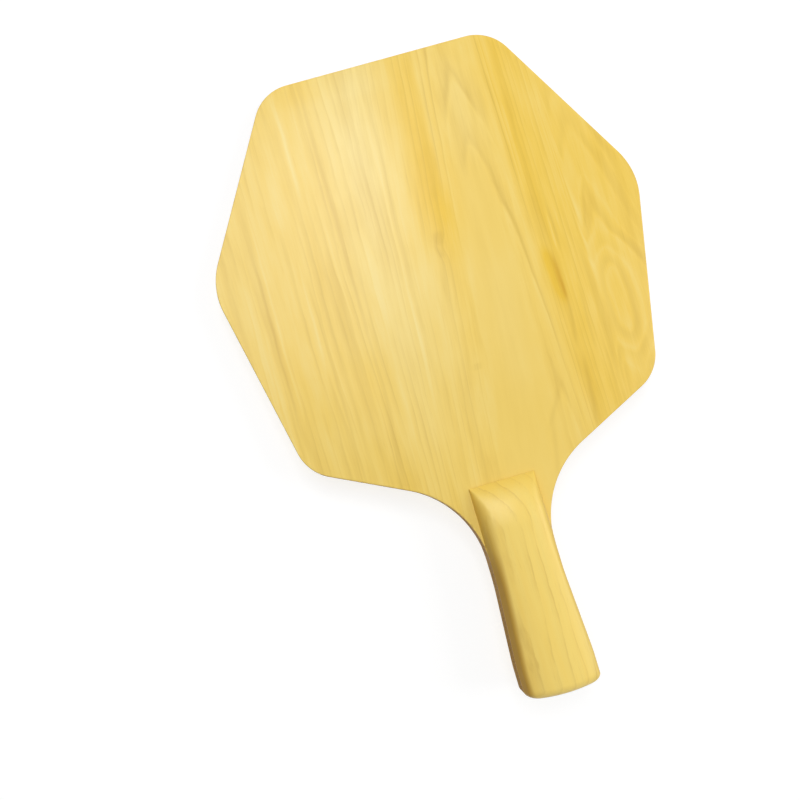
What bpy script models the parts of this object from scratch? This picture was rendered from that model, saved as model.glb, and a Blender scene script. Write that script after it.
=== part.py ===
"""A wooden paddle bat: a seven-ply board with an eight-sided head, and a handle scale glued on each face.

The bat lies flat with its front face up. Y runs from the butt of the handle to the head, X across, Z up.
Lengths are in metres. Outlines are drawn with y counted from the butt, on the board's middle plane, and
an empty carries all the pieces to the bat's own frame: the origin is halfway along the bat, on the surface
that the back handle scale lies on.
"""

import math

import bmesh
import bpy
from mathutils import Vector

# Overall size
OVERALL_LENGTH = 0.297
HANDLE_LENGTH = 0.0965

# Head, measured between the sharp corners that the rounding takes off
TOP_EDGE_WIDTH = 0.1088
HEAD_WIDTH = 0.2025
HEAD_WIDEST_FROM_TOP = 0.0815
LOWER_CORNER_WIDTH = 0.1648
LOWER_CORNER_FROM_TOP = 0.1734
LOWER_SIDE_ANGLE = math.radians(63.9)
TOP_CORNER_RADIUS = 0.020
WIDEST_CORNER_RADIUS = 0.032
LOWER_CORNER_RADIUS = 0.020
SHOULDER_RADIUS = 0.045

# Handle, seen from the front
WAIST_WIDTH = 0.0305
WAIST_FROM_BUTT = 0.0510
WAIST_RADIUS = 0.115
BUTT_WIDTH = 0.0350
FLARE_END_FROM_BUTT = 0.0145
FLARE_RADIUS = 0.090
BUTT_CORNER_RADIUS = 0.0034
BUTT_BOW_RADIUS = 0.120
BOW_INSET = 1.3  # where the bow's own points start, in corner radii in from the side
SCALE_HEAD_WIDTH = 0.0308

# Board, from the face inwards
FACE_VENEER = 0.0007
BAND = 0.00115
CORE = 0.0014
GLUE_LINE = 0.0001
FACE_ARRIS = 0.0005

# Handle scale, in section and in side view
SCALE_HEIGHT = 0.0086
CROWN_RADIUS = 0.045
SIDE_CORNER_RADIUS = 0.0025
SIDE_LEAN = math.radians(15.0)
RAMP_LENGTH = 0.021
RAMP_TIP = 0.0006
BUTT_ROUND = 0.0046

# Fineness of the curves
OUTLINE_STEP = math.radians(6.0)
BOW_STEPS = 4
CROWN_STEPS = 3
SIDE_CORNER_STEPS = 6
GRIP_STATION = 0.0032
RAMP_STATIONS = 12
BUTT_STATIONS = 6
ARRIS_STEPS = 2
SHARP_ANGLE = math.radians(35.0)

# Places in the list of corners down the right side
LOWER_CORNER = 2
BOW_START = 7

BOARD_THICKNESS = 2 * FACE_VENEER + 4 * BAND + CORE + 6 * GLUE_LINE


def clear_scene():
    for item in list(bpy.data.objects):
        bpy.data.objects.remove(item)


def wood(name, colour, roughness):
    """A lacquered wood of one colour."""
    material = bpy.data.materials.new(name)
    material.use_nodes = True
    shader = material.node_tree.nodes["Principled BSDF"]
    shader.inputs["Base Color"].default_value = (*colour, 1.0)
    shader.inputs["Roughness"].default_value = roughness
    shader.inputs["Metallic"].default_value = 0.0
    return material


def add_object(name, bm, material, frame):
    """Closes the bmesh into a named object that hangs from the bat's frame."""
    bmesh.ops.recalc_face_normals(bm, faces=bm.faces)
    mesh = bpy.data.meshes.new(name)
    bm.to_mesh(mesh)
    bm.free()
    mesh.shade_smooth()
    mesh.set_sharp_from_angle(angle=SHARP_ANGLE)
    mesh.materials.append(material)
    item = bpy.data.objects.new(name, mesh)
    bpy.context.collection.objects.link(item)
    item.parent = frame
    return item


def fillet(before, corner, after, radius):
    """Points of the arc that rounds one corner of an outline; the corner alone where there is no radius."""
    back = (before - corner).normalized()
    ahead = (after - corner).normalized()
    turn = math.pi - back.angle(ahead)
    if radius == 0.0 or turn < 1e-4:
        return [corner]
    reach = radius * math.tan(turn / 2)
    centre = corner + (back + ahead).normalized() * radius / math.cos(turn / 2)
    start = corner + back * reach - centre
    side = 1.0 if back.cross(ahead) < 0 else -1.0
    steps = max(2, math.ceil(turn / OUTLINE_STEP))
    points = []
    for step in range(steps + 1):
        angle = side * turn * step / steps
        cosine, sine = math.cos(angle), math.sin(angle)
        arm = Vector((start.x * cosine - start.y * sine, start.x * sine + start.y * cosine))
        points.append(centre + arm)
    return points


def round_corners(corners):
    """The line through the corners, each rounded with its radius; the first and last only give directions."""
    line = []
    for (before, _), (corner, radius), (after, _) in zip(corners, corners[1:], corners[2:]):
        line += fillet(before, corner, after, radius)
    return line


def butt_line(x):
    """How far the bowed butt has come away from its middle, at this distance from the centre line."""
    return BUTT_BOW_RADIUS - math.sqrt(BUTT_BOW_RADIUS**2 - x**2)


def right_corners():
    """Sharp corners down the right side, from the top edge to the butt's middle, each with its radius."""
    neck = WAIST_WIDTH / 2
    side = BUTT_WIDTH / 2
    lower_x = LOWER_CORNER_WIDTH / 2
    lower_y = OVERALL_LENGTH - LOWER_CORNER_FROM_TOP
    shoulder_y = lower_y - (lower_x - neck) / math.tan(LOWER_SIDE_ANGLE)
    corners = [
        (Vector((TOP_EDGE_WIDTH / 2, OVERALL_LENGTH)), TOP_CORNER_RADIUS),
        (Vector((HEAD_WIDTH / 2, OVERALL_LENGTH - HEAD_WIDEST_FROM_TOP)), WIDEST_CORNER_RADIUS),
        (Vector((lower_x, lower_y)), LOWER_CORNER_RADIUS),
        (Vector((neck, shoulder_y)), SHOULDER_RADIUS),
        (Vector((neck, WAIST_FROM_BUTT)), WAIST_RADIUS),
        (Vector((side, FLARE_END_FROM_BUTT)), FLARE_RADIUS),
        (Vector((side, butt_line(side))), BUTT_CORNER_RADIUS),
    ]
    bow_start = side - BOW_INSET * BUTT_CORNER_RADIUS
    for step in range(BOW_STEPS):
        x = bow_start * (1 - step / BOW_STEPS)
        corners.append((Vector((x, butt_line(x))), 0.0))
    return corners


def board_outline():
    """The board's outline as a closed list of points, clockwise from the top edge."""
    right = right_corners()
    left = [(Vector((-corner.x, corner.y)), radius) for corner, radius in reversed(right)]
    corners = [*right, (Vector((0.0, 0.0)), 0.0), *left]
    return round_corners([corners[-1], *corners, corners[0]])


def bow_share(run):
    """Sections of the handle are bowed like the butt there, and come straight towards the waist."""
    return max(0.0, 1 - run / WAIST_FROM_BUTT)


def tang_side():
    """The tang's right side as pairs of station along the handle and half width, from the butt upwards."""
    side = []
    for point in reversed(round_corners(right_corners()[LOWER_CORNER:BOW_START + 1])):
        bow = butt_line(point.x)
        run = (point.y - bow) / (1 - bow / WAIST_FROM_BUTT) if point.y < WAIST_FROM_BUTT else point.y
        side.append((run, point.x))
    return side


def tang_half_width(run, side):
    """Reads the tang's half width between the points of its side."""
    for (low, first), (high, second) in zip(side, side[1:]):
        if run <= high:
            share = max(0.0, (run - low) / (high - low))
            return first + share * (second - first)
    return side[-1][1]


def scale_half_width(run, side):
    """Half width of a handle scale: flush with the tang, then parallel where the board widens to the head."""
    tang = tang_half_width(run, side)
    return tang if run <= WAIST_FROM_BUTT else min(tang, SCALE_HEAD_WIDTH / 2)


def make_ply(name, outline, low, high, material, frame, arris_side=0):
    """A sheet of the board between two levels. arris_side is the face with a rounded edge: 1, -1 or 0."""
    bm = bmesh.new()
    floor = bm.faces.new([bm.verts.new((point.x, point.y, low)) for point in outline])
    raised = bmesh.ops.extrude_face_region(bm, geom=[floor])["geom"]
    risen = [item for item in raised if isinstance(item, bmesh.types.BMVert)]
    bmesh.ops.translate(bm, verts=risen, vec=(0, 0, high - low))
    if arris_side:
        level = high if arris_side > 0 else low
        side = tang_side()
        bare = [edge for edge in bm.edges if all(is_bare(vert.co, level, side) for vert in edge.verts)]
        bmesh.ops.bevel(
            bm, geom=bare, offset=FACE_ARRIS, segments=ARRIS_STEPS, profile=0.5, affect="EDGES", material=-1
        )
    return add_object(name, bm, material, frame)


def is_bare(place, level, side):
    """Is this point of the board's rim on the outer face, and clear of the handle scale?"""
    if abs(place.z - level) > 1e-6:
        return False
    covered = scale_half_width(place.y, side) + FACE_ARRIS
    return place.y > HANDLE_LENGTH or (place.y > WAIST_FROM_BUTT and abs(place.x) > covered)


def scale_height(run):
    """Height of the crown over the board, with the round at the butt and the ramp at the head end."""
    if run < BUTT_ROUND:
        return SCALE_HEIGHT - BUTT_ROUND + math.sqrt(BUTT_ROUND**2 - (BUTT_ROUND - run) ** 2)
    left = run - (HANDLE_LENGTH - RAMP_LENGTH)
    if left <= 0:
        return SCALE_HEIGHT
    drop = SCALE_HEIGHT - RAMP_TIP
    radius = (RAMP_LENGTH**2 + drop**2) / (2 * drop)
    return SCALE_HEIGHT - radius + math.sqrt(radius**2 - left**2)


def scale_stations():
    """Stations along the handle of the scale's sections, closer together on the round and the ramp."""
    ramp_start = HANDLE_LENGTH - RAMP_LENGTH
    grip_length = ramp_start - BUTT_ROUND
    grips = math.ceil(grip_length / GRIP_STATION)
    butt = [BUTT_ROUND * (1 - math.cos(math.pi / 2 * k / BUTT_STATIONS)) for k in range(BUTT_STATIONS)]
    grip = [BUTT_ROUND + grip_length * k / grips for k in range(grips)]
    ramp = [ramp_start + RAMP_LENGTH * k / RAMP_STATIONS for k in range(RAMP_STATIONS + 1)]
    return [*butt, *grip, *ramp]


def crown_points(half_width, height):
    """The section over its flat foot: up the leaning left wall, over the domed crown, down the right wall.

    Where the ramp or the butt's round makes the section lower, its crown is flatter and its corners are
    tighter in the same share, and the walls keep their lean.
    """
    share = height / SCALE_HEIGHT
    crown_radius, corner_radius = CROWN_RADIUS / share, SIDE_CORNER_RADIUS * share
    dome_centre = height - crown_radius
    reach = crown_radius - corner_radius
    wall = half_width * math.cos(SIDE_LEAN) - corner_radius - dome_centre * math.sin(SIDE_LEAN)
    dome_edge = math.asin(wall / reach) - SIDE_LEAN
    right = []
    for step in range(1, CROWN_STEPS + 1):
        angle = dome_edge * step / CROWN_STEPS
        right.append((crown_radius * math.sin(angle), dome_centre + crown_radius * math.cos(angle)))
    for step in range(1, SIDE_CORNER_STEPS + 1):
        angle = dome_edge + (math.pi / 2 - SIDE_LEAN - dome_edge) * step / SIDE_CORNER_STEPS
        x = reach * math.sin(dome_edge) + corner_radius * math.sin(angle)
        z = dome_centre + reach * math.cos(dome_edge) + corner_radius * math.cos(angle)
        right.append((x, z))
    right.append((half_width, 0.0))
    left = [(-x, z) for x, z in reversed(right)]
    return [*left, (0.0, height), *right]


def make_scale(name, facing, material, frame):
    """A handle scale, skinned over sections along the handle. facing is 1 on the front and -1 on the back."""
    bm = bmesh.new()
    side = tang_side()
    base = BOARD_THICKNESS / 2 + GLUE_LINE
    rings = []
    for run in scale_stations():
        crown = crown_points(scale_half_width(run, side), scale_height(run))
        section = crown + [(x, 0.0) for x, _ in reversed(crown[1:-1])]
        rings.append([
            bm.verts.new((x, run + bow_share(run) * butt_line(x), facing * (base + z)))
            for x, z in section
        ])
    loops = [[bm.edges.new((ring[k - 1], ring[k])) for k in range(len(ring))] for ring in rings]
    for first, second in zip(loops, loops[1:]):
        bmesh.ops.bridge_loops(bm, edges=first + second)
    close_end(bm, rings[0])
    close_end(bm, rings[-1])
    return add_object(name, bm, material, frame)


def close_end(bm, ring):
    """Fills a section with upright strips, so that a bowed end keeps its curve."""
    right_foot = len(ring) // 2
    bm.faces.new((ring[0], ring[1], ring[-1]))
    for k in range(1, right_foot - 1):
        bm.faces.new((ring[k], ring[k + 1], ring[-k - 1], ring[-k]))
    bm.faces.new((ring[right_foot - 1], ring[right_foot], ring[right_foot + 1]))


def make_board(outline, frame):
    """The seven sheets, from the back face to the front one."""
    face = wood("face_veneer_wood", (0.78, 0.60, 0.22), 0.35)
    long_grain = wood("longband_wood", (0.70, 0.50, 0.20), 0.5)
    cross_grain = wood("crossband_wood", (0.52, 0.34, 0.13), 0.6)
    sheets = [
        ("back_face_veneer", FACE_VENEER, face, -1),
        ("back_crossband", BAND, cross_grain, 0),
        ("back_longband", BAND, long_grain, 0),
        ("core_crossband", CORE, cross_grain, 0),
        ("front_longband", BAND, long_grain, 0),
        ("front_crossband", BAND, cross_grain, 0),
        ("front_face_veneer", FACE_VENEER, face, 1),
    ]
    level = -BOARD_THICKNESS / 2
    for name, thickness, material, arris_side in sheets:
        make_ply(name, outline, level, level + thickness, material, frame, arris_side)
        level += thickness + GLUE_LINE


def main():
    clear_scene()
    frame = bpy.data.objects.new("bat_frame", None)
    bpy.context.collection.objects.link(frame)
    frame.location = (0.0, -OVERALL_LENGTH / 2, SCALE_HEIGHT + GLUE_LINE + BOARD_THICKNESS / 2)
    make_board(board_outline(), frame)
    scale_wood = wood("handle_scale_wood", (0.80, 0.62, 0.24), 0.32)
    make_scale("front_handle_scale", 1, scale_wood, frame)
    make_scale("back_handle_scale", -1, scale_wood, frame)


main()
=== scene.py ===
"""The look of a bare wooden paddle bat: a plywood board with an eight-sided head, and two handle scales.

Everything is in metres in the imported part's own frame. Y runs from the butt of the handle to the head, X
across the head and Z out of the front face, and the origin is halfway along the bat. Each sheet of the board
and each scale is modelled again, finer than its solid, at the levels that the frame gives. The woods are
procedural, on Object coordinates in millimetres, so that places and lengths in a pattern are real ones.
"""

import logging
import math
from dataclasses import dataclass, field
from enum import Enum

import bmesh
import bpy
from mathutils import Euler, Matrix, Vector


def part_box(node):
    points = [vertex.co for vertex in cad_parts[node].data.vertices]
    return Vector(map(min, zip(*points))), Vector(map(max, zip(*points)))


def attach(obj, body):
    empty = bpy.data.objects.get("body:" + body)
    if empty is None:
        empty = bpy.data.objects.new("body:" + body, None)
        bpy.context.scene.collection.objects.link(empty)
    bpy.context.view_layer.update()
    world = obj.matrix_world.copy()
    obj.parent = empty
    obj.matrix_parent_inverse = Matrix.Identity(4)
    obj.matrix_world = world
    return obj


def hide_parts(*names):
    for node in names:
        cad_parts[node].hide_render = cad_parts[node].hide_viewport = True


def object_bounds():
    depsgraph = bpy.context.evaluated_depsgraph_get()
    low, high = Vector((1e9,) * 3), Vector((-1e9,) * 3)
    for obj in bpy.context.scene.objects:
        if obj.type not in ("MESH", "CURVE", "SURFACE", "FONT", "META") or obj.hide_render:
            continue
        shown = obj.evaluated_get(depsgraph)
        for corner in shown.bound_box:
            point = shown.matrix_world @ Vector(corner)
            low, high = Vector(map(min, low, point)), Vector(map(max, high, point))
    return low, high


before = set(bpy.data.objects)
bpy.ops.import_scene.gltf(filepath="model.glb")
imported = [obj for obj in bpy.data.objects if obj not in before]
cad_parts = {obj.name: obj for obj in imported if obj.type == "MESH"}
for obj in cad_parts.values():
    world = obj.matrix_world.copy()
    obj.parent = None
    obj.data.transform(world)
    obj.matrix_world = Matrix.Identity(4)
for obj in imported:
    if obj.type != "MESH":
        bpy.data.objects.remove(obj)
CAD_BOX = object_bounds()

LOG = logging.getLogger("bat")
MILLIMETRES = 1000.0  # in a metre
SAME_PLACE = 1e-6  # the furthest that two points which count as one lie apart
SHARP_ANGLE = math.radians(35.0)

Levels = tuple[float, float, float]
Place = tuple[float, float, float]
Span = tuple[float, float]  # from where something starts to where it is complete


class Facing(Enum):
    """The side of the board that a piece faces."""

    FRONT = 1
    BACK = -1


class Grain(Enum):
    """The way that a sheet's fibres run, as the axis of the frame."""

    ALONG = "Y"
    ACROSS = "X"


# Meshes


class Wire:
    """A line of joined vertices that grows by straight runs and by spun arcs, on a bmesh of its own."""

    def __init__(self) -> None:
        """Starts an empty line."""
        self.bm = bmesh.new()
        self.verts: list[bmesh.types.BMVert] = []

    def run_to(self, point: Vector) -> None:
        """Goes straight on to a point."""
        vert = self.bm.verts.new(point)
        if self.verts:
            self.bm.edges.new((self.verts[-1], vert))
        self.verts.append(vert)

    def swing(self, centre: Vector, axis: Vector, angle: float, steps: int) -> None:
        """Spins the line's end about a centre, which leaves an arc behind it.

        Args:
            centre: the arc's centre.
            axis: the axis that the arc turns about, by the right-hand rule.
            angle: how far it turns, in radians.
            steps: the number of edges along the arc.
        """
        drawn = len(self.bm.verts)
        bmesh.ops.spin(
            self.bm, geom=[self.verts[-1]], cent=centre, axis=axis, dvec=(0, 0, 0), angle=angle, steps=steps,
            use_duplicate=False,
        )
        self.verts += list(self.bm.verts)[drawn:]

    def round_corner(self, before: Vector, corner: Vector, after: Vector, radius: float, step: float) -> None:
        """Goes straight to a corner and round it on an arc that touches both of its sides.

        Args:
            before: the corner that the line comes from.
            corner: the sharp corner.
            after: the corner that the line goes to.
            radius: the radius of the rounding.
            step: the longest turn of one edge of the arc, in radians.
        """
        back = (before - corner).normalized()
        ahead = (after - corner).normalized()
        turn = math.pi - back.angle(ahead)
        centre = corner + (back + ahead).normalized() * radius / math.cos(turn / 2)
        self.run_to(corner + back * radius * math.tan(turn / 2))
        self.swing(centre, ahead.cross(back).normalized(), turn, max(2, math.ceil(turn / step)))

    def lay_into(self, bm: bmesh.types.BMesh, closed: bool) -> list[bmesh.types.BMEdge]:
        """Copies the line into the bmesh of a piece, and ends it here.

        Args:
            bm: the piece's bmesh.
            closed: whether its end is joined to its start.

        Returns:
            The line's edges in that bmesh, in order.
        """
        verts = [bm.verts.new(vert.co) for vert in self.verts]
        ends = [*verts[1:], verts[0]] if closed else verts[1:]
        self.bm.free()
        return [bm.edges.new(pair) for pair in zip(verts, ends)]


def make_mesh(name: str, bm: bmesh.types.BMesh, material: bpy.types.Material) -> bpy.types.Mesh:
    """Turns a bmesh, which is freed here, into a mesh of one material."""
    mesh = bpy.data.meshes.new(name)
    bm.to_mesh(mesh)
    bm.free()
    mesh.materials.append(material)
    return mesh


def add_object(name: str, data: bpy.types.ID) -> bpy.types.Object:
    """Puts a mesh, a light or a camera into the scene, at the origin."""
    item = bpy.data.objects.new(name, data)
    bpy.context.collection.objects.link(item)
    return item


def add_piece(name: str, bm: bmesh.types.BMesh, material: bpy.types.Material, node: str) -> None:
    """Turns a closed bmesh into a piece that stands for a CAD node and rides with the bat's one body.

    Args:
        name: the piece's name.
        bm: its shape, which is freed here.
        material: its finish.
        node: the CAD node that it stands for.
    """
    bmesh.ops.recalc_face_normals(bm, faces=bm.faces)
    for face in bm.faces:
        face.smooth = len(face.verts) <= 4
    mesh = make_mesh(name, bm, material)
    mesh.set_sharp_from_angle(angle=SHARP_ANGLE)
    piece = add_object(name, mesh)
    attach(piece, "root")
    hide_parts(node)
    LOG.info("%s: %d faces, for %s", name, len(mesh.polygons), node)


# Materials


def linear(tone: Levels) -> tuple[float, float, float, float]:
    """A colour of sRGB levels from 0 to 255 as the linear colour that a socket holds."""
    shares = [level / 255.0 for level in tone]
    return (*[s / 12.92 if s <= 0.04045 else ((s + 0.055) / 1.055) ** 2.4 for s in shares], 1.0)


class Field:
    """A number that varies over a surface: an output of one of a material's nodes."""

    def __init__(self, graph: "Graph", socket: bpy.types.NodeSocket) -> None:
        """Wraps a node's output."""
        self.graph = graph
        self.socket = socket

    def __add__(self, other: "Field | float") -> "Field":
        """The sum with another field or a number."""
        return self.graph.math("ADD", self, other)

    def __sub__(self, other: "Field | float") -> "Field":
        """The difference from another field or a number."""
        return self.graph.math("SUBTRACT", self, other)

    def __rsub__(self, other: float) -> "Field":
        """A number less this field."""
        return self.graph.math("SUBTRACT", other, self)

    def __mul__(self, other: "Field | float") -> "Field":
        """The product with another field or a number."""
        return self.graph.math("MULTIPLY", self, other)

    def __truediv__(self, other: "Field | float") -> "Field":
        """The quotient by another field or a number."""
        return self.graph.math("DIVIDE", self, other)

    def size(self) -> "Field":
        """The distance from zero."""
        return self.graph.math("ABSOLUTE", self)

    def fraction(self) -> "Field":
        """What is left over the last whole number, from 0 to 1."""
        return self.graph.math("FRACT", self)

    def capped(self) -> "Field":
        """The field held between 0 and 1."""
        return self.graph.math("ADD", self, 0.0, clamp=True)

    def root(self) -> "Field":
        """The square root."""
        return self.graph.math("SQRT", self)

    def fold(self, softness: float) -> "Field":
        """The distance from zero with a rounded turn of this size, like a hyperbola."""
        return (self * self + softness**2).root()

    def step(self, start: float, end: float) -> "Field":
        """A smooth step from 0 where the field is at start to 1 at end."""
        node = self.graph.node("ShaderNodeMapRange", interpolation_type="SMOOTHSTEP")
        self.graph.plug(node.inputs["Value"], self)
        node.inputs["From Min"].default_value = start
        node.inputs["From Max"].default_value = end
        return Field(self.graph, node.outputs["Result"])

    def bell(self) -> "Field":
        """1 where the field is zero, falling away on both sides like a bell."""
        return self.graph.math("EXPONENT", self * self * -1.0)


class Graph:
    """A tree of nodes, and the sums and patterns that are made with it."""

    def __init__(self, tree: bpy.types.NodeTree) -> None:
        """Works on a tree."""
        self.tree = tree

    def node(self, kind: str, **settings: "str | bpy.types.NodeTree") -> bpy.types.Node:
        """Adds a node.

        Args:
            kind: the node's type.
            settings: its options by name.

        Returns:
            The new node.
        """
        node = self.tree.nodes.new(kind)
        for name, value in settings.items():
            setattr(node, name, value)
        return node

    def plug(
        self, socket: bpy.types.NodeSocket, value: "Field | bpy.types.NodeSocket | float | tuple"
    ) -> None:
        """Gives an input a field, another node's output, or a constant."""
        if isinstance(value, Field):
            self.tree.links.new(value.socket, socket)
        elif isinstance(value, bpy.types.NodeSocket):
            self.tree.links.new(value, socket)
        else:
            socket.default_value = value

    def math(self, operation: str, *values: "Field | float", clamp: bool = False) -> Field:
        """Works out one sum on fields and numbers.

        Args:
            operation: the Math node's operation.
            values: its inputs in order.
            clamp: whether the result is held between 0 and 1.

        Returns:
            The result.
        """
        node = self.node("ShaderNodeMath", operation=operation)
        node.use_clamp = clamp
        for socket, value in zip(node.inputs, values):
            self.plug(socket, value)
        return Field(self, node.outputs[0])

    def noise(self, x: "Field | float", y: "Field | float", z: "Field | float", detail: float = 2.0) -> Field:
        """Smooth noise from about -1 to 1.

        Args:
            x: the place in the noise, whose cells are about 1 across.
            y: the same.
            z: the same.
            detail: the number of finer layers on it.

        Returns:
            The noise.
        """
        point = self.node("ShaderNodeCombineXYZ")
        for socket, value in zip(point.inputs, (x, y, z)):
            self.plug(socket, value)
        texture = self.node("ShaderNodeTexNoise", noise_dimensions="3D")
        texture.inputs["Scale"].default_value = 1.0
        texture.inputs["Detail"].default_value = detail
        self.plug(texture.inputs["Vector"], point.outputs[0])
        return Field(self, texture.outputs[0]) * 4.0 - 2.0  # it mostly stays within 0.25 to 0.75

    def tint(
        self, share: Field, first: "bpy.types.NodeSocket | Levels", second: "bpy.types.NodeSocket | Levels"
    ) -> bpy.types.NodeSocket:
        """Blends two colours.

        Args:
            share: how much of the second there is, held between 0 and 1.
            first: a colour of sRGB levels or a colour output.
            second: the same.

        Returns:
            The colour output.
        """
        node = self.node("ShaderNodeMix", data_type="RGBA")
        factor, start, end = node.inputs[0], node.inputs[6], node.inputs[7]
        self.plug(factor, share)
        for socket, colour in ((start, first), (end, second)):
            self.plug(socket, linear(colour) if isinstance(colour, tuple) else colour)
        return node.outputs[2]

    def seen(self) -> Field:
        """1 for what the camera sees directly, in a reflection or through a clear material, else 0."""
        path = self.node("ShaderNodeLightPath")
        total = Field(self, path.outputs["Is Camera Ray"])
        for name in ("Is Glossy Ray", "Is Transmission Ray"):
            total = self.math("MAXIMUM", total, Field(self, path.outputs[name]))
        return total


class Paint(Graph):
    """The nodes of one material."""

    def __init__(self, name: str) -> None:
        """Starts a material that holds only its shader."""
        self.material = bpy.data.materials.new(name)
        self.material.use_nodes = True
        super().__init__(self.material.node_tree)
        self.shader = self.tree.nodes["Principled BSDF"]

    def place(self, turn: float = 0.0, shift: Place = (0.0, 0.0, 0.0)) -> list[Field]:
        """The place on the bat in millimetres.

        Args:
            turn: an angle about Z by which the pattern's own frame is turned.
            shift: how far it is then moved, in millimetres.

        Returns:
            The fields x, y and z.
        """
        where = self.node("ShaderNodeTexCoord")
        mapping = self.node("ShaderNodeMapping")
        mapping.inputs["Scale"].default_value = (MILLIMETRES, MILLIMETRES, MILLIMETRES)
        mapping.inputs["Rotation"].default_value = (0.0, 0.0, turn)
        mapping.inputs["Location"].default_value = shift
        parts = self.node("ShaderNodeSeparateXYZ")
        self.plug(mapping.inputs["Vector"], where.outputs["Object"])
        self.plug(parts.inputs[0], mapping.outputs[0])
        return [Field(self, output) for output in parts.outputs]

    def facing(self, axis: str) -> Field:
        """How far the surface faces along an axis of the frame, from -1 to 1."""
        geometry = self.node("ShaderNodeNewGeometry")
        parts = self.node("ShaderNodeSeparateXYZ")
        self.plug(parts.inputs[0], geometry.outputs["Normal"])
        return Field(self, parts.outputs[axis])

    def cover(self, colour: "bpy.types.NodeSocket | tuple", roughness: "Field | float") -> None:
        """Gives the surface its colour and its roughness."""
        self.plug(self.shader.inputs["Base Color"], colour)
        self.plug(self.shader.inputs["Roughness"], roughness)

    def shine(self, level: float, share: Field | None = None) -> None:
        """Sets how strongly the surface reflects.

        Args:
            level: the specular level. It stays on the socket, for a reader that drops what is linked to it.
            share: a share of it that varies over the surface.
        """
        socket = self.shader.inputs["Specular IOR Level"]
        socket.default_value = level
        if share is not None:
            self.plug(socket, share * level)

    def relief(self, height: Field, depth: float) -> None:
        """Raises the surface by a field, whose unit is worth this depth in metres."""
        bump = self.node("ShaderNodeBump")
        bump.inputs["Distance"].default_value = depth
        self.plug(bump.inputs["Height"], height)
        self.plug(self.shader.inputs["Normal"], bump.outputs[0])


class StreakGroup(Graph):
    """A group of nodes that works out one streak, made once and used for every streak."""

    GIVEN = ("X", "Y", "Middle X", "Middle Y", "Half Width", "Half Length", "Lean", "Tone")

    def __init__(self) -> None:
        """Makes the group."""
        super().__init__(bpy.data.node_groups.new("streak", "ShaderNodeTree"))
        for name in self.GIVEN:
            self.tree.interface.new_socket(name, in_out="INPUT", socket_type="NodeSocketFloat")
        self.tree.interface.new_socket("Strength", in_out="OUTPUT", socket_type="NodeSocketFloat")
        given = self.node("NodeGroupInput")
        x, y, middle_x, middle_y, half_width, half_length, lean, tone = [
            Field(self, given.outputs[name]) for name in self.GIVEN
        ]
        along = y - middle_y
        across = (x - middle_x - along * lean) / half_width
        run = along / half_length
        strength = self.math("EXPONENT", (across * across + run * run * run * run) * -1.0) * tone
        self.plug(self.node("NodeGroupOutput").inputs[0], strength)


@dataclass(frozen=True)
class Bend:
    """A place across a veneer where its growth rings come to lie closer or further apart."""

    x: float
    change: float
    softness: float


@dataclass(frozen=True)
class Streak:
    """A soft streak along the grain: its middle and half sizes in millimetres, its strength and its lean."""

    x: float
    y: float
    half_width: float
    half_length: float
    tone: float
    lean: float = 0.0

    def over(self, x: Field, y: Field, group: StreakGroup) -> Field:
        """The streak's strength at each place, worked out by the group."""
        node = x.graph.node("ShaderNodeGroup", node_tree=group.tree)
        values = (x, y, self.x, self.y, self.half_width, self.half_length, self.lean, self.tone)
        for socket, value in zip(node.inputs, values):
            x.graph.plug(socket, value)
        return Field(x.graph, node.outputs[0])


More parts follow.
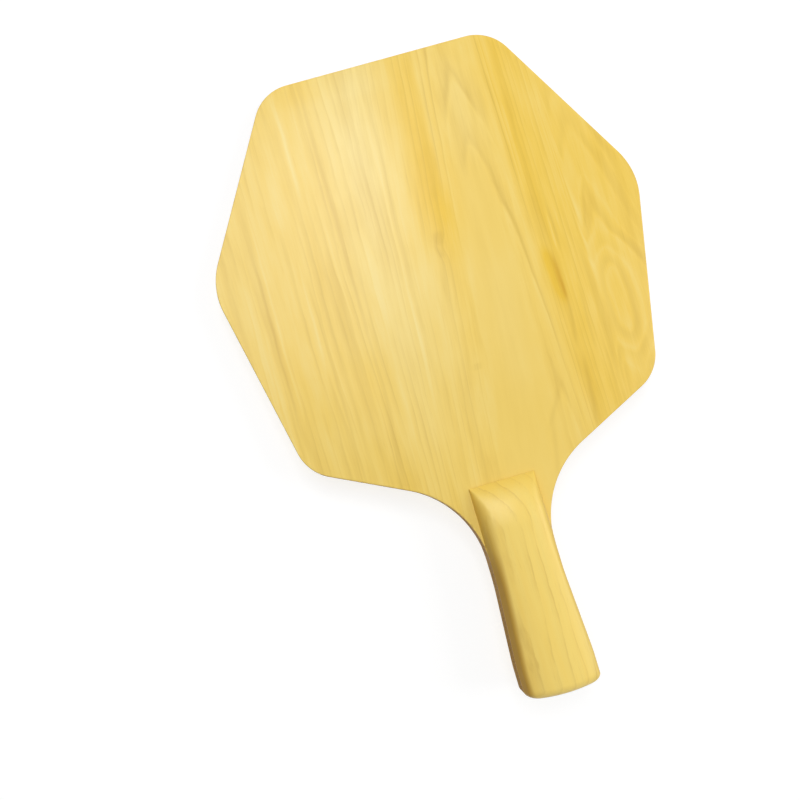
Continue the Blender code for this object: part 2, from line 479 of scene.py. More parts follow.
@dataclass(frozen=True)
class VeneerFinish:
    """The tones and the figure of a satin-lacquered peeled veneer.

    Places are in millimetres from the middle of the bat. The grain runs along Y and is straight on the left.
    A cathedral stands right of the middle, with plain wood inside it, beside a dark stripe that holds a resin
    pocket. The rings at the right edge form flames about an eye.
    """

    name: str
    turn: float = 0.0
    shift: Place = (0.0, 0.0, 0.0)
    cream: Levels = (252.0, 238.0, 172.0)
    pale: Levels = (248.0, 226.0, 148.0)
    gold: Levels = (241.0, 199.0, 56.0)
    amber: Levels = (190.0, 146.0, 48.0)
    ember: Levels = (208.0, 152.0, 14.0)
    edge: Levels = (210.0, 162.0, 72.0)
    roughness: float = 0.34
    gloss: float = 0.50
    relief: float = 0.000006
    ring_rate: float = 0.25  # rings for each millimetre across
    stem_climb: float = 0.0325  # rings for each millimetre along
    stem_y: float = 98.0
    stem_left: Span = (-45.0, 0.0)
    stem_right: Span = (36.0, 48.0)
    arch_climb: float = 0.030
    arch_y: float = 90.0
    arch_left: Span = (12.0, 28.0)
    arch_right: Span = (32.0, 46.0)
    plain_left: Span = (12.0, 20.0)
    plain_right: Span = (31.0, 37.0)
    plain_top: Span = (82.0, 96.0)
    lean: float = 0.12
    lean_y: float = 60.0
    left_edge: Span = (-60.0, -25.0)
    # the middle of a painted sheen, under which the rings show fainter
    painted_sheen_x: float = -10.0
    stripe_x: float = 55.0
    gold_side: Span = (38.0, 58.0)
    flames_x: Span = (64.0, 69.5)
    soft_rings: Span = (58.0, 70.0)
    faint_rings: Span = (62.0, 70.0)
    eye_y: float = 12.0
    swirl_x: float = 4.0
    swirl_y: float = 57.0
    bends: tuple[Bend, ...] = (
        Bend(-28, 0.04, 6), Bend(22, -0.12, 1.5), Bend(31, -0.10, 2), Bend(45.5, -0.245, 1.5),
        Bend(51.5, 0.59, 1), Bend(58, -0.075, 2), Bend(68, -0.155, 1.5), Bend(76.5, -0.145, 1.5),
    )
    # Darker streaks, and paler ones below zero
    lines: tuple[Streak, ...] = (
        # The straight grain from the left edge to the golden band
        Streak(-94, 45, 2.0, 34, 0.10), Streak(-87, 30, 2.8, 34, -0.16), Streak(-82, 20, 0.8, 42, 0.12),
        Streak(-79.5, 42, 0.8, 48, 0.22, 0.01), Streak(-77, 45, 0.6, 45, -0.22, 0.01),
        Streak(-65, 50, 1.1, 32, 0.14), Streak(-61, 40, 0.6, 22, -0.30, 0.03),
        Streak(-58.5, 8, 0.7, 50, 0.18), Streak(-54, 20, 1.3, 80, 0.10), Streak(-51, 121, 1.0, 24, -0.34),
        Streak(-47, 25, 3.0, 65, 0.13), Streak(-44, 40, 0.7, 60, -0.18),
        Streak(-38.5, 72, 0.9, 76, 0.19, 0.01), Streak(-41.5, -25, 1.4, 26, 0.22, 0.09),
        Streak(-29, 50, 2.6, 22, -0.22), Streak(-20, 90, 1.0, 32, 0.15, 0.02),
        Streak(-15, 60, 0.8, 80, -0.24, 0.05), Streak(-12, 70, 0.9, 70, 0.13, 0.05),
        Streak(-62, 98, 3.4, 14, -0.16), Streak(10, 90, 3.4, 13, 0.12, 0.10),
        # The swirl, and the marks below it
        Streak(3.5, 61, 2.4, 3.2, 0.20, 0.2), Streak(2.5, 55, 1.2, 3.0, 0.16, -0.3),
        Streak(4.5, 0, 2.2, 1.6, 0.12), Streak(33.5, -26, 1.4, 9, 0.11, 0.6),
        Streak(27.5, -46, 1.3, 14, 0.11, 0.2),
        # The dark stripe
        Streak(50.0, 56, 2.2, 15, 0.13), Streak(51.7, 8, 0.9, 10, 0.20, 0.08),
        Streak(50.5, -26, 1.2, 16, 0.22, 0.10), Streak(58.9, 8, 0.7, 16, 0.17, 0.02),
        Streak(46.3, 104, 0.9, 60, 0.16), Streak(52.5, 110, 1.6, 52, 0.14),
        # The flames and their eye
        Streak(68.3, 40, 1.0, 28, -0.20), Streak(72.5, 58, 0.9, 11, 0.16, 0.25),
        Streak(76.6, 13, 2.6, 13, 0.03), Streak(93, 42, 4.0, 40, 0.12, -0.06),
        # The split above the resin pocket
        Streak(54.8, 50, 0.7, 9, -0.22), Streak(56.0, 52, 0.9, 10, 0.18),
        # Broad soft shades
        Streak(0, -47, 9.0, 8, 0.06), Streak(-55, 90, 4.0, 60, 0.07), Streak(-35, 68, 5.0, 22, 0.07),
        Streak(-14, 68, 5.0, 22, 0.08), Streak(76, 10, 5.0, 45, -0.08), Streak(53, 15, 6.0, 60, 0.05),
    )
    # Places that are more golden, and paler ones below zero
    glows: tuple[Streak, ...] = (
        Streak(7.5, 106, 8.5, 52, 0.28, 0.03), Streak(8, 40, 5.0, 36, 0.14, 0.12),
        Streak(51, 70, 6.5, 110, 0.12), Streak(49.9, 31, 2.0, 12, 0.34, -0.08),
        # paler wood left of the middle: partly the veneer's own pale grain, partly a painted sheen of the
        # light
        Streak(-20, 96, 17.0, 70, -0.36, 0.05), Streak(-4, 8, 12.0, 40, -0.10, 0.12),
        Streak(16, 118, 1.5, 38, -0.14, 0.05), Streak(31, 120, 8.0, 24, -0.16),
        Streak(11, 84, 9.0, 20, 0.12, 0.05), Streak(-25, 0, 10.0, 34, -0.20, 0.05),
        Streak(25, 14, 7.0, 30, -0.10, 0.10), Streak(-36, 146, 14.0, 9, 0.16),
        Streak(-14, 70, 20.0, 20, 0.09, 0.05), Streak(-12, 143, 15.0, 9, -0.13),
        Streak(-72, 14, 10.0, 24, 0.08),
    )
    # The resin pocket
    embers: tuple[Streak, ...] = (
        Streak(52.1, 28.5, 1.1, 10.5, 0.52, -0.01), Streak(50.8, 34, 1.3, 8, 0.16, -0.05),
        Streak(52.5, 23.5, 0.6, 4.5, 0.45, -0.02),
    )


class VeneerPaint(Paint):
    """A veneer's material while it is made: the place on the veneer, and the layers of its figure."""

    def __init__(self, finish: VeneerFinish, group: StreakGroup) -> None:
        """Starts the material of a finish, whose streaks the group works out."""
        super().__init__(finish.name)
        self.finish = finish
        self.group = group
        self.x, self.y, self.z = self.place(finish.turn, finish.shift)
        self.wobble = self.noise(self.x * 0.10, self.y * 0.045, 5.0, 4.0)
        self.leaning = self.x - (self.y - finish.lean_y) * finish.lean
        inside = self.leaning.step(*finish.plain_left) * (1 - self.x.step(*finish.plain_right))
        self.plain = inside * (1 - self.y.step(*finish.plain_top))

    def rings(self) -> Field:
        """The growth rings counted across the veneer, so that each whole number is the end of a year."""
        finish, x, y = self.finish, self.x, self.y
        count = x * (finish.ring_rate + sum(bend.change for bend in finish.bends))
        for bend in finish.bends:
            count = count + (x - bend.x).fold(bend.softness) * bend.change
        stem = x.step(*finish.stem_left) - x.step(*finish.stem_right)
        count = count - (y - finish.stem_y) * stem * finish.stem_climb
        below = (finish.arch_y - y + (finish.arch_y - y).fold(6)) * 0.5
        arch = below * self.leaning.step(*finish.arch_left) * (1 - x.step(*finish.arch_right))
        count = count - arch * finish.arch_climb
        away = y - finish.eye_y
        flames = away.fold(20) * 0.05 + away.size().step(10, 35) * 1.15 + 0.555
        count = count - x.step(*finish.flames_x) * flames
        swirl = ((x - finish.swirl_x) / 4.0).bell() * ((y - finish.swirl_y) / 5.0).bell()
        return count + swirl * 0.7 + 0.555

    def late_wood(self, age: Field) -> Field:
        """How dark each part of a year is, from 0 to 1: a line at its end, or a soft band in the flames."""
        line = (age.step(0.30, 0.86) + age.step(0.68, 0.86)) * 0.5 * (1 - age.step(0.87, 1.0))
        band = age.step(0.05, 0.70) * (1 - age.step(0.72, 1.0))
        return line + (band - line) * self.x.step(*self.finish.soft_rings)

    def clearness(self) -> Field:
        """How clearly the rings show, from 0 to 1, which is least where another figure takes their place and
        under the painted sheen.
        """
        finish, x, y = self.finish, self.x, self.y
        left_edge = 1 - x.step(*finish.left_edge)
        # painted sheen: the rings fade where the light's reflection lies
        painted_sheen = ((x - finish.painted_sheen_x) / 28).bell()
        flames = x.step(*finish.faint_rings) * (y.step(78, 92) * 0.30 + 0.40)
        stripe = ((x - finish.stripe_x) / 11).bell()
        top = ((x - 38) / 5).bell() * y.step(125, 140)
        clear = 1 - self.plain * 0.8 - left_edge * 0.55 - painted_sheen * 0.66 - flames
        return (clear - stripe * 0.55 - top * 0.8).capped()

    def ring_depth(self) -> Field:
        """How far the rings darken the wood. The start of a year is a little paler, and so below zero."""
        x, y, z = self.x, self.y, self.z
        wander = self.noise(x * 0.10, y * 0.010, 3.0, 1.0) * (1 - x.step(-5, 15))
        drift = self.noise(x * 0.07, y * 0.02, z * 0.05)
        count = self.rings() + wander * 0.45 + drift * 0.09 + self.wobble * 0.10
        age = count.fraction()
        year = count - age
        vigour = self.noise(year * 0.73, y * 0.012, 4.0, 2.0) * 1.2 + 0.55
        early = 1 - age.step(0.0, 0.25)
        return (self.late_wood(age) * vigour.capped() * 0.32 - early * 0.07) * self.clearness()

    def add_streaks(self, start: Field, streaks: tuple[Streak, ...], x: Field) -> Field:
        """A field with streaks added to it, which bend where x wanders."""
        for streak in streaks:
            start = start + streak.over(x, self.y, self.group)
        return start

    def make(self) -> bpy.types.Material:
        """Lays the figure's layers over one another and colours them.

        Returns:
            The finished material.
        """
        finish, plain = self.finish, self.plain
        x, y, z = self.x, self.y, self.z
        bent = x + self.wobble * 0.4
        slant = ((x - 2) / 26).bell() * 0.11
        across = x - slant * (y - finish.lean_y) + self.wobble * 0.4
        fibre = self.noise(across * 2.4, y * 0.060, z * 0.5, 3.0) * (1 - plain * 0.7)
        band = self.noise(across * 0.11, y * 0.006, 9.0, 3.0) * (1 - plain * 0.7)
        pores = self.noise(across * 1.7, y * 0.11, 7.0, 2.0).step(0.35, 1.3) * (1 - plain * 0.8)
        patch = self.noise(across * 0.22, y * 0.030, 12.0, 4.0) * (1 - plain * 0.6)
        cloud = self.noise(x * 0.018, y * 0.014, 2.0, 2.0)
        deep = self.ring_depth() + fibre * 0.05 + band * 0.11 + patch * 0.085 + pores * 0.12
        deep = self.add_streaks(deep, finish.lines, bent)
        gilt = x.step(*finish.gold_side) * 0.18 + 0.60 + patch * 0.06 + cloud * 0.06 + deep * 0.10
        gilt = self.add_streaks(gilt, finish.glows, x)
        colour = self.tint(gilt.capped(), finish.pale, finish.gold)
        colour = self.tint((deep * -1.0).capped(), colour, finish.cream)
        colour = self.tint(deep.capped(), colour, finish.amber)
        for ember in finish.embers:
            colour = self.tint(ember.over(bent, y, self.group), colour, finish.ember)
        rim = 1 - self.facing("Z").size()
        self.cover(self.tint(rim, colour, finish.edge), fibre * 0.02 + finish.roughness)
        self.shine(finish.gloss, 1 - rim * 0.9)
        self.relief(fibre, finish.relief)
        return self.material


@dataclass(frozen=True)
class EdgeFinish:
    """The sanded edge of a sheet: pale fibres where the rim runs with the grain, dark ends across it."""

    name: str
    grain: Grain
    fibre_tone: Levels
    end_tone: Levels
    darkest: float = 0.72
    roughness: float = 0.6
    gloss: float = 0.06
    relief: float = 0.00001

    def material(self) -> bpy.types.Material:
        """Makes the finish."""
        paint = Paint(self.name)
        x, y, z = paint.place()
        along, over = (y, x) if self.grain is Grain.ALONG else (x, y)
        fibre = paint.noise(over * 2.8, along * 0.10, z * 2.8, 3.0)
        patch = paint.noise(over * 0.3, along * 0.03, z * 0.3)
        end = paint.facing(self.grain.value).size()
        colour = paint.tint((end + patch * 0.08).capped(), self.fibre_tone, self.end_tone)
        dark = tuple(level * self.darkest for level in self.end_tone)
        colour = paint.tint((fibre * 0.35 + 0.15).capped(), colour, dark)
        paint.cover(colour, fibre * 0.05 + self.roughness)
        paint.shine(self.gloss)
        paint.relief(fibre, self.relief)
        return paint.material


@dataclass(frozen=True)
class ScaleFinish:
    """Satin-lacquered solid wood, whose growth rings are shells about a tree's heart well beside the grip.

    The heart, the foot of the scale and the thickness of a year are in millimetres.
    """

    name: str
    heart_x: float
    heart_z: float
    foot_z: float
    tilt: float
    year: float
    pale: Levels = (252.0, 228.0, 134.0)
    honey: Levels = (249.0, 213.0, 103.0)
    gold: Levels = (240.0, 200.0, 66.0)
    amber: Levels = (196.0, 150.0, 52.0)
    # the tone of the painted shade on walls that face away from the light
    painted_shade: Levels = (204.0, 160.0, 70.0)
    roughness: float = 0.34
    gloss: float = 0.42
    relief: float = 0.000006

    def ring_depth(self, paint: Paint, x: Field, y: Field, z: Field) -> Field:
        """How far the growth rings darken the wood at a place."""
        drift = paint.noise(x * 0.09, y * 0.025, z * 0.09)
        wobble = paint.noise(x * 0.5, y * 0.12, z * 0.5, 3.0)
        away_x = x - self.heart_x
        away_z = z - self.heart_z + y * self.tilt
        count = (away_x * away_x + away_z * away_z).root() / self.year + drift * 0.20 + wobble * 0.07
        age = count.fraction()
        late = (age.step(0.40, 0.92) * 0.4 + age.step(0.80, 0.93) * 0.6) * (1 - age.step(0.94, 1.0))
        vigour = paint.noise((count - age) * 0.73, y * 0.03, 4.0) * 1.1 + 0.6
        broken = 1 - paint.noise(x * 0.8, y * 0.09, z * 0.8, 3.0).step(-0.2, 1.2) * 0.7
        return late * vigour.capped() * broken * 0.34

    def painted_shade_share(self, facing: Field, y: Field) -> Field:
        """How much painted shade a wall has, by the way that it faces: most facing left, away from the light.
        Beside the ramp it has less.
        """
        # painted shade: the left walls and the left of the crown face away from the light, and the right
        # walls take a little
        left = (facing * -1.0).step(0.06, 0.97) * (1 - y.step(-95, -68) * 0.45)
        return left + facing.step(0.30, 1.0) * 0.35

    def material(self) -> bpy.types.Material:
        """Makes the finish."""
        paint = Paint(self.name)
        x, y, z = paint.place()
        fibre = paint.noise(x * 2.4, y * 0.05, z * 2.4, 3.0)
        band = paint.noise(x * 0.25, y * 0.020, z * 0.25, 3.0)
        pores = paint.noise(x * 1.9, y * 0.14, z * 1.9).step(0.40, 1.2)
        deep = self.ring_depth(paint, x, y, z) + fibre * 0.05 + band * 0.06 + pores * 0.13
        thin = 1 - (z - self.foot_z).size().step(0.5, 6.5)
        facing = paint.facing("X")
        colour = paint.tint((band * 0.25 + 0.35).capped(), self.honey, self.pale)
        colour = paint.tint(thin * 0.50, colour, self.gold)
        colour = paint.tint(deep.capped(), colour, self.amber)
        # painted shade on the walls, deepest on the left, away from the light
        colour = paint.tint(self.painted_shade_share(facing, y), colour, self.painted_shade)
        paint.cover(colour, fibre * 0.02 + self.roughness)
        paint.shine(self.gloss, 1 - facing.size().step(0.08, 0.96) * 0.9)
        paint.relief(fibre, self.relief)
        return paint.material


# Sub-assemblies


@dataclass(frozen=True)
class Corner:
    """A corner of the board's outline before it is rounded, counted from the middle of the butt."""

    x: float
    y: float
    radius: float


@dataclass(frozen=True)
class Sheet:
    """A sheet of the board: its name, its CAD node, its slot, and the face on which it has an arris."""

    name: str
    node: str
    slot: str
    arris: Facing | None = None


@dataclass
class Board:
    """The board: seven sheets glued crosswise, with one outline for the head, the neck and the tang."""

    length: float = CAD_BOX[1].y - CAD_BOX[0].y
    top_edge_width: float = 0.1088
    head_width: float = 0.2025
    widest_from_top: float = 0.0815
    lower_corner_width: float = 0.1648
    lower_corner_from_top: float = 0.1734
    lower_side_angle: float = math.radians(63.9)
    top_radius: float = 0.020
    widest_radius: float = 0.032
    lower_radius: float = 0.020
    shoulder_radius: float = 0.045
    waist_width: float = 0.0305
    waist_from_butt: float = 0.0510
    waist_radius: float = 0.115
    butt_width: float = 0.0350
    flare_end_from_butt: float = 0.0145
    flare_radius: float = 0.090
    butt_corner_radius: float = 0.0034
    butt_bow_radius: float = 0.120
    bow_inset: float = 1.3
    arris: float = 0.0005
    arris_steps: int = 4
    turn_step: float = math.radians(2.0)
    bow_steps: int = 14
    sheets: tuple[Sheet, ...] = (
        Sheet("front_face_sheet", "front_face_veneer", "face_veneer", Facing.FRONT),
        Sheet("front_cross_sheet", "front_crossband", "crossband"),
        Sheet("front_long_sheet", "front_longband", "longband"),
        Sheet("core_sheet", "core_crossband", "crossband"),
        Sheet("back_long_sheet", "back_longband", "longband"),
        Sheet("back_cross_sheet", "back_crossband", "crossband"),
        Sheet("back_face_sheet", "back_face_veneer", "face_veneer", Facing.BACK),
    )

    def butt_line(self, x: float) -> float:
        """How far the bowed butt has come away from its middle, at this distance from the centre line."""
        return self.butt_bow_radius - math.sqrt(self.butt_bow_radius**2 - x**2)

    def corners(self) -> list[Corner]:
        """The sharp corners down the right side, from the top edge to the butt."""
        neck = self.waist_width / 2
        side = self.butt_width / 2
        lower_x = self.lower_corner_width / 2
        lower_y = self.length - self.lower_corner_from_top
        shoulder_y = lower_y - (lower_x - neck) / math.tan(self.lower_side_angle)
        return [
            Corner(self.top_edge_width / 2, self.length, self.top_radius),
            Corner(self.head_width / 2, self.length - self.widest_from_top, self.widest_radius),
            Corner(lower_x, lower_y, self.lower_radius),
            Corner(neck, shoulder_y, self.shoulder_radius),
            Corner(neck, self.waist_from_butt, self.waist_radius),
            Corner(side, self.flare_end_from_butt, self.flare_radius),
            Corner(side, self.butt_line(side), self.butt_corner_radius),
        ]

    def trace(self, level: float = 0.0) -> Wire:
        """Draws the outline's right half at a level, from the middle of the top edge to the butt's middle."""
        corners = self.corners()
        points = [Vector((corner.x, corner.y - self.length / 2, level)) for corner in corners]
        top = Vector((0.0, self.length / 2, level))
        bow_x = corners[-1].x - self.bow_inset * self.butt_corner_radius
        bow = Vector((bow_x, self.butt_line(bow_x) - self.length / 2, level))
        wire = Wire()
        wire.run_to(top)
        for before, corner, after, shape in zip([top, *points], points, [*points[1:], bow], corners):
            wire.round_corner(before, corner, after, shape.radius, self.turn_step)
        wire.run_to(bow)
        centre = Vector((0.0, self.butt_bow_radius - self.length / 2, level))
        wire.swing(centre, Vector((0, 0, -1)), math.asin(bow_x / self.butt_bow_radius), self.bow_steps)
        return wire

    def tang_side(self) -> list[tuple[float, float]]:
        """The tang's right side from the butt upwards: pairs of station along the handle and half width."""
        wire = self.trace()
        side = []
        for vert in reversed(wire.verts[1 : -self.bow_steps - 1]):
            x, y = vert.co.x, vert.co.y + self.length / 2
            bow = self.butt_line(x) if x <= self.butt_width / 2 else 0.0
            run = (y - bow) / (1 - bow / self.waist_from_butt) if y < self.waist_from_butt else y
            side.append((run, x))
        wire.bm.free()
        return side

    def is_bare(self, edge: bmesh.types.BMEdge, level: float, handle: "Handle") -> bool:
        """Whether both ends of an edge are on the sheet's outer face, at this level, clear of the scale."""
        for vert in edge.verts:
            run = vert.co.y + self.length / 2
            covered = handle.half_width(run) + self.arris
            clear = run > handle.length or (run > self.waist_from_butt and abs(vert.co.x) > covered)
            if abs(vert.co.z - level) > SAME_PLACE or not clear:
                return False
        return True

    def make_sheet(self, sheet: Sheet, material: bpy.types.Material, handle: "Handle") -> None:
        """Cuts one sheet to the outline, with a rounded arris on an outer face where no scale covers it.

        Args:
            sheet: which sheet.
            material: its finish.
            handle: the handle, which knows what its scales cover.
        """
        low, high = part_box(sheet.node)
        bm = bmesh.new()
        self.trace(low.z).lay_into(bm, closed=False)
        half = [*bm.verts, *bm.edges]
        bmesh.ops.mirror(bm, geom=half, matrix=Matrix.Identity(4), axis="X", merge_dist=SAME_PLACE)
        bmesh.ops.remove_doubles(bm, verts=bm.verts, dist=SAME_PLACE)
        floor = bmesh.ops.contextual_create(bm, geom=list(bm.edges))["faces"]
        raised = bmesh.ops.extrude_face_region(bm, geom=floor)["geom"]
        risen = [item for item in raised if isinstance(item, bmesh.types.BMVert)]
        bmesh.ops.translate(bm, verts=risen, vec=(0, 0, high.z - low.z))
        if sheet.arris:
            level = high.z if sheet.arris is Facing.FRONT else low.z
            rim = [edge for edge in bm.edges if self.is_bare(edge, level, handle)]
            bmesh.ops.bevel(
                bm, geom=rim, offset=self.arris, segments=self.arris_steps, profile=0.5, affect="EDGES",
                material=-1,
            )
        add_piece(sheet.name, bm, material, sheet.node)

    def build(self, handle: "Handle") -> None:
        """Makes the seven sheets with their finishes."""
        group = StreakGroup()
        front = VeneerFinish("front_veneer")
        back = VeneerFinish("back_veneer", turn=math.pi, shift=(14.0, 38.0, 0.0))
        long_edge = EdgeFinish("long_grain_edge", Grain.ALONG, (222.0, 174.0, 78.0), (170.0, 122.0, 50.0))
        cross_edge = EdgeFinish("cross_grain_edge", Grain.ACROSS, (224.0, 176.0, 84.0), (152.0, 104.0, 42.0))
        faces = {Facing.FRONT: VeneerPaint(front, group).make(), Facing.BACK: VeneerPaint(back, group).make()}
        bands = {"longband": long_edge.material(), "crossband": cross_edge.material()}
        for sheet in self.sheets:
            self.make_sheet(sheet, faces[sheet.arris] if sheet.arris else bands[sheet.slot], handle)


@dataclass
class Handle:
    """The grip: two domed scales, flush with the tang, that ramp down to the head."""

    board: Board
    length: float = 0.0965
    head_width: float = 0.0308
    crown_radius: float = 0.045
    corner_radius: float = 0.0037
    neck_softness: float = 0.55
    ramp_softness: float = 1.4
    corner_limit: float = 0.90
    lean: float = math.radians(15.0)
    ramp_length: float = 0.021
    ramp_tip: float = 0.0006
    butt_round: float = 0.0046
    crown_steps: int = 26
    corner_steps: int = 14
    foot_steps: int = 28
    grip_step: float = 0.0014
    ramp_stations: int = 40
    butt_stations: int = 14
    height: float = field(init=False)
    side: list[tuple[float, float]] = field(init=False)

    def __post_init__(self) -> None:
        """Reads the scale's height from the frame and the tang's side from the board."""
        low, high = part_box("front_handle_scale")
        self.height = high.z - low.z
        self.side = self.board.tang_side()

    def half_width(self, run: float) -> float:
        """Half width of a scale: flush with the tang, then parallel where the board widens to the head."""
        tang = self.side[-1][1]
        for (low, first), (high, second) in zip(self.side, self.side[1:]):
            if run <= high:
                tang = first + max(0.0, (run - low) / (high - low)) * (second - first)
                break
        return tang if run <= self.board.waist_from_butt else min(tang, self.head_width / 2)

    def crown(self, run: float) -> float:
        """Height of the crown over the foot, with the round at the butt and the ramp at the head end."""
        if run < self.butt_round:
            rise = math.sqrt(self.butt_round**2 - (self.butt_round - run) ** 2)
            return self.height - self.butt_round + rise
        left = max(0.0, run - (self.length - self.ramp_length))
        drop = self.height - self.ramp_tip
        radius = (self.ramp_length**2 + drop**2) / (2 * drop)
        return self.height - radius + math.sqrt(radius**2 - left**2)

    def corner(self, run: float) -> float:
        """Radius of the corners: tight on the grip, and softer from the waist to the ramp and down it."""
        waist = self.board.waist_from_butt
        neck = min(1.0, max(0.0, (run - waist) / (self.length - self.ramp_length - waist)))
        height = self.crown(run)
        softer = self.neck_softness * neck + self.ramp_softness * (1.0 - height / self.height)
        return min(self.corner_radius * (1.0 + softer), self.corner_limit * height)

    def stations(self) -> list[float]:
        """Stations along the handle of the sections, closer together on the round and the ramp."""
        ramp_start = self.length - self.ramp_length
        grip_length = ramp_start - self.butt_round
        grips = math.ceil(grip_length / self.grip_step)
        turns = [math.pi / 2 * k / self.butt_stations for k in range(self.butt_stations)]
        butt = [self.butt_round * (1 - math.cos(turn)) for turn in turns]
        grip = [self.butt_round + grip_length * k / grips for k in range(grips)]
        ramp = [ramp_start + self.ramp_length * k / self.ramp_stations for k in range(self.ramp_stations + 1)]
        return [*butt, *grip, *ramp]

    def section(self, run: float) -> Wire:
        """Draws a section with its foot at level 0: leaning walls, round corners and a domed crown.

        Args:
            run: its station along the handle.

        Returns:
            The section's line, which starts and ends at the foot's left end.
        """
        half_width, height = self.half_width(run), self.crown(run)
        crown_radius = self.crown_radius * self.height / height
        corner_radius = self.corner(run)
        dome = Vector((0.0, run, height - crown_radius))
        reach = crown_radius - corner_radius
        wall = half_width * math.cos(self.lean) - corner_radius - dome.z * math.sin(self.lean)
        edge = math.asin(wall / reach) - self.lean
        corner = dome + reach * Vector((math.sin(edge), 0.0, math.cos(edge)))
        mirrored = Vector((-corner.x, corner.y, corner.z))
        wall_top = mirrored + corner_radius * Vector((-math.cos(self.lean), 0.0, math.sin(self.lean)))
        across = Vector((0, 1, 0))
        bend = math.pi / 2 - self.lean - edge
        wire = Wire()
        wire.run_to(Vector((-half_width, run, 0.0)))
        wire.run_to(wall_top)
        wire.swing(mirrored, across, bend, self.corner_steps)
        wire.swing(dome, across, 2 * edge, self.crown_steps)
        wire.swing(corner, across, bend, self.corner_steps)
        for step in range(self.foot_steps):
            wire.run_to(Vector((half_width * (1 - 2 * step / self.foot_steps), run, 0.0)))
        bow_share = max(0.0, 1 - run / self.board.waist_from_butt)
        for vert in wire.verts:
            vert.co.y += bow_share * self.board.butt_line(vert.co.x) - self.board.length / 2
        return wire

    def make_scale(self, name: str, node: str, facing: Facing, material: bpy.types.Material) -> None:
        """Skins a scale over its sections and closes its two ends.

        Args:
            name: the piece's name.
            node: the CAD node that it stands for.
            facing: the side of the board that it is glued on.
            material: its finish.
        """
        bm = bmesh.new()
        loops = [self.section(run).lay_into(bm, closed=True) for run in self.stations()]
        for first, second in zip(loops, loops[1:]):
            bmesh.ops.bridge_loops(bm, edges=first + second)
        for ring in (loops[0], loops[-1]):
            bmesh.ops.triangle_fill(bm, edges=ring, use_beauty=True)
        low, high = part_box(node)
        foot = low.z if facing is Facing.FRONT else high.z
        bmesh.ops.scale(bm, verts=bm.verts, vec=(1, 1, facing.value))
        bmesh.ops.translate(bm, verts=bm.verts, vec=(0, 0, foot))
        add_piece(name, bm, material, node)

    def build(self) -> None:
        """Makes the two scales, each sawn from its own stick of wood."""
        front = ScaleFinish("front_scale_wood", heart_x=-35.0, heart_z=62.0, foot_z=16.8, tilt=0.02, year=4.3)
        back = ScaleFinish("back_scale_wood", heart_x=28.0, heart_z=-36.0, foot_z=8.6, tilt=-0.015, year=4.6)
        self.make_scale("front_grip_scale", "front_handle_scale", Facing.FRONT, front.material())
        self.make_scale("back_grip_scale", "back_handle_scale", Facing.BACK, back.material())


# Studio


@dataclass(frozen=True)
class SoftBox:
    """A soft light of width by depth that is aimed at a point of the bat."""

    name: str
    target: Place
    direction: Place
    distance: float
    width: float
    depth: float
    share: float
    along: Place = (0.0, 1.0, 0.0)

    def build(self) -> None:
        """Hangs the light with its depth along the given way.

        Its power gives the front face its share of full light, under which a colour shows as it is written.
        """
        toward = Vector(self.direction).normalized()
        across = Vector(self.along).cross(toward).normalized()
        lamp = bpy.data.lights.new(self.name, "AREA")
        lamp.shape = "RECTANGLE"
        lamp.size, lamp.size_y = self.width, self.depth
        lamp.energy = self.share * math.pi**2 * self.distance**2 / abs(toward.z)
        light = add_object(self.name, lamp)
        light.location = Vector(self.target) + toward * self.distance
        light.rotation_euler = Matrix((across, toward.cross(across), toward)).transposed().to_euler()


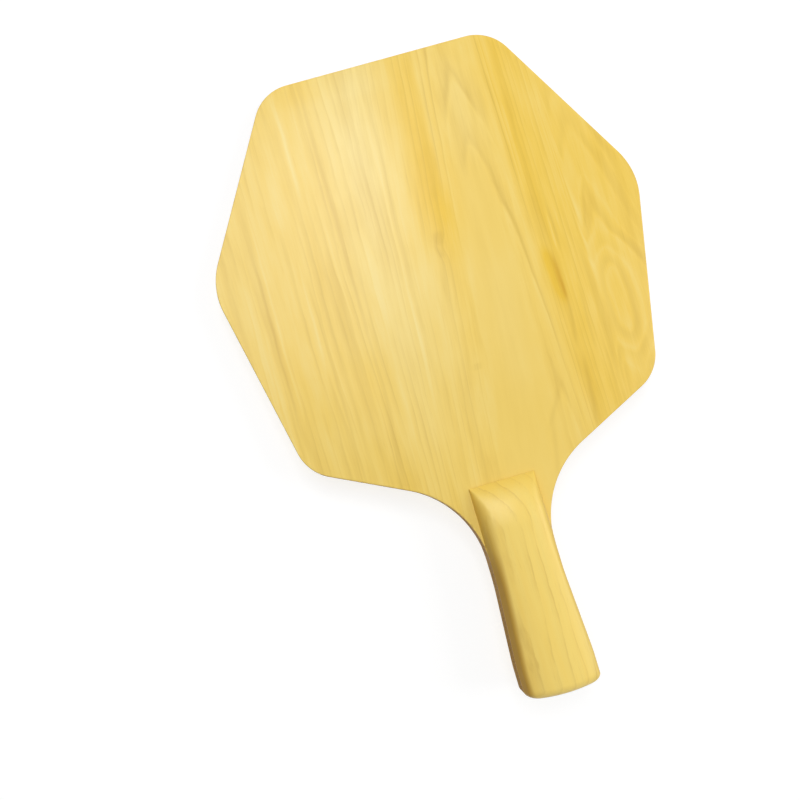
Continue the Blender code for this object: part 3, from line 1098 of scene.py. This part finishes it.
@dataclass(frozen=True)
class Studio:
    """A white floor and world, soft light from above and below, and the camera."""

    floor_size: float = 6.0
    floor_tone: float = 0.32
    floor_glow: float = 0.76
    gap: float = 0.00003
    sky: float = 0.32
    rest_end: float = -0.0730
    camera_place: Place = (-0.07422, -0.03293, 0.32949)
    camera_turn: Place = (2.5548, -0.7913, -16.1873)
    focal_length: float = 31.5
    shift: tuple[float, float] = (0.075, 0.0675)
    lights: tuple[SoftBox, ...] = (
        SoftBox("window_light", (-0.03, 0.05, 0.017), (-0.10, 0.36, 0.93), 1.60, 1.00, 1.10, 0.36),
        SoftBox("fill_light", (0.0, 0.0, 0.017), (-0.80, -0.10, 0.60), 2.00, 1.20, 1.20, 0.035),
        SoftBox(
            "strip_light", (-0.035, 0.085, 0.017), (0.09, 0.44, 0.90), 0.90, 0.12, 0.34, 0.09,
            along=(-0.3, 0.92, 0.0),
        ),
        SoftBox("side_light", (0.0, 0.0, 0.017), (0.86, -0.08, 0.50), 2.00, 1.20, 1.20, 0.20),
        SoftBox("under_light", (0.0, 0.0, 0.0), (0.0, 0.0, -1.0), 2.50, 0.80, 0.80, 0.50),
    )

    def floor_paint(self) -> bpy.types.Material:
        """Makes a paint that shows white where nothing shades it and keeps a shadow.

        From below it is see-through, and the light from below passes it, so that the bat's back can be seen.

        Returns:
            The material.
        """
        paint = Paint("floor_paint")
        level = self.floor_tone
        paint.cover((level, level, level, 1.0), 1.0)
        paint.shine(0.0)
        glow = paint.node("ShaderNodeEmission")
        paint.plug(glow.inputs["Strength"], paint.seen() * self.floor_glow)
        both = paint.node("ShaderNodeAddShader")
        paint.plug(both.inputs[0], paint.shader.outputs[0])
        paint.plug(both.inputs[1], glow.outputs[0])
        clear = paint.node("ShaderNodeBsdfTransparent")
        under = Field(paint, paint.node("ShaderNodeNewGeometry").outputs["Backfacing"])
        shading = Field(paint, paint.node("ShaderNodeLightPath").outputs["Is Shadow Ray"])
        sides = paint.node("ShaderNodeMixShader")
        paint.plug(sides.inputs[0], paint.math("MAXIMUM", under, shading))
        paint.plug(sides.inputs[1], both.outputs[0])
        paint.plug(sides.inputs[2], clear.outputs[0])
        paint.plug(paint.tree.nodes["Material Output"].inputs["Surface"], sides.outputs[0])
        return paint.material

    def make_floor(self) -> None:
        """Lays a floor under the bat, which rests on its back scale and on the far end of its head."""
        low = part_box("back_face_veneer")[0]
        slope = math.atan2(low.z, CAD_BOX[1].y - self.rest_end)
        bm = bmesh.new()
        bmesh.ops.create_grid(bm, x_segments=2, y_segments=2, size=self.floor_size / 2)
        bmesh.ops.rotate(bm, verts=bm.verts, cent=(0, 0, 0), matrix=Matrix.Rotation(slope, 3, "X"))
        bmesh.ops.translate(bm, verts=bm.verts, vec=(0, self.rest_end, -self.gap))
        floor = add_object("floor", make_mesh("floor", bm, self.floor_paint()))

    def make_world(self) -> None:
        """Surrounds the scene with even light that shows as white."""
        world = bpy.data.worlds.new("studio_world")
        bpy.context.scene.world = world
        world.use_nodes = True
        graph = Graph(world.node_tree)
        background = graph.tree.nodes["Background"]
        background.inputs["Color"].default_value = (1.0, 1.0, 1.0, 1.0)
        strength = graph.node("ShaderNodeMapRange")
        strength.inputs["To Min"].default_value = self.sky
        strength.inputs["To Max"].default_value = 1.0
        graph.plug(strength.inputs["Value"], graph.seen())
        graph.plug(background.inputs["Strength"], strength.outputs["Result"])

    def make_camera(self) -> None:
        """Puts the camera where the photograph was taken from, with its framing."""
        lens = bpy.data.cameras.new("camera")
        lens.lens = self.focal_length
        lens.shift_x, lens.shift_y = self.shift
        lens.clip_start = 0.01
        camera = add_object("camera", lens)
        camera.location = self.camera_place
        camera.rotation_euler = Euler([math.radians(angle) for angle in self.camera_turn])
        bpy.context.scene.camera = camera

    def build(self) -> None:
        """Sets up the floor, the world, the lights and the camera."""
        self.make_floor()
        self.make_world()
        for light in self.lights:
            light.build()
        self.make_camera()
        bpy.context.scene.view_settings.view_transform = "Standard"


def main() -> None:
    """Builds the studio, the board and the handle."""
    logging.basicConfig(level=logging.INFO, format="%(name)s: %(message)s")
    Studio().build()
    board = Board()
    handle = Handle(board)
    board.build(handle)
    handle.build()


if __name__ == "__main__":
    main()
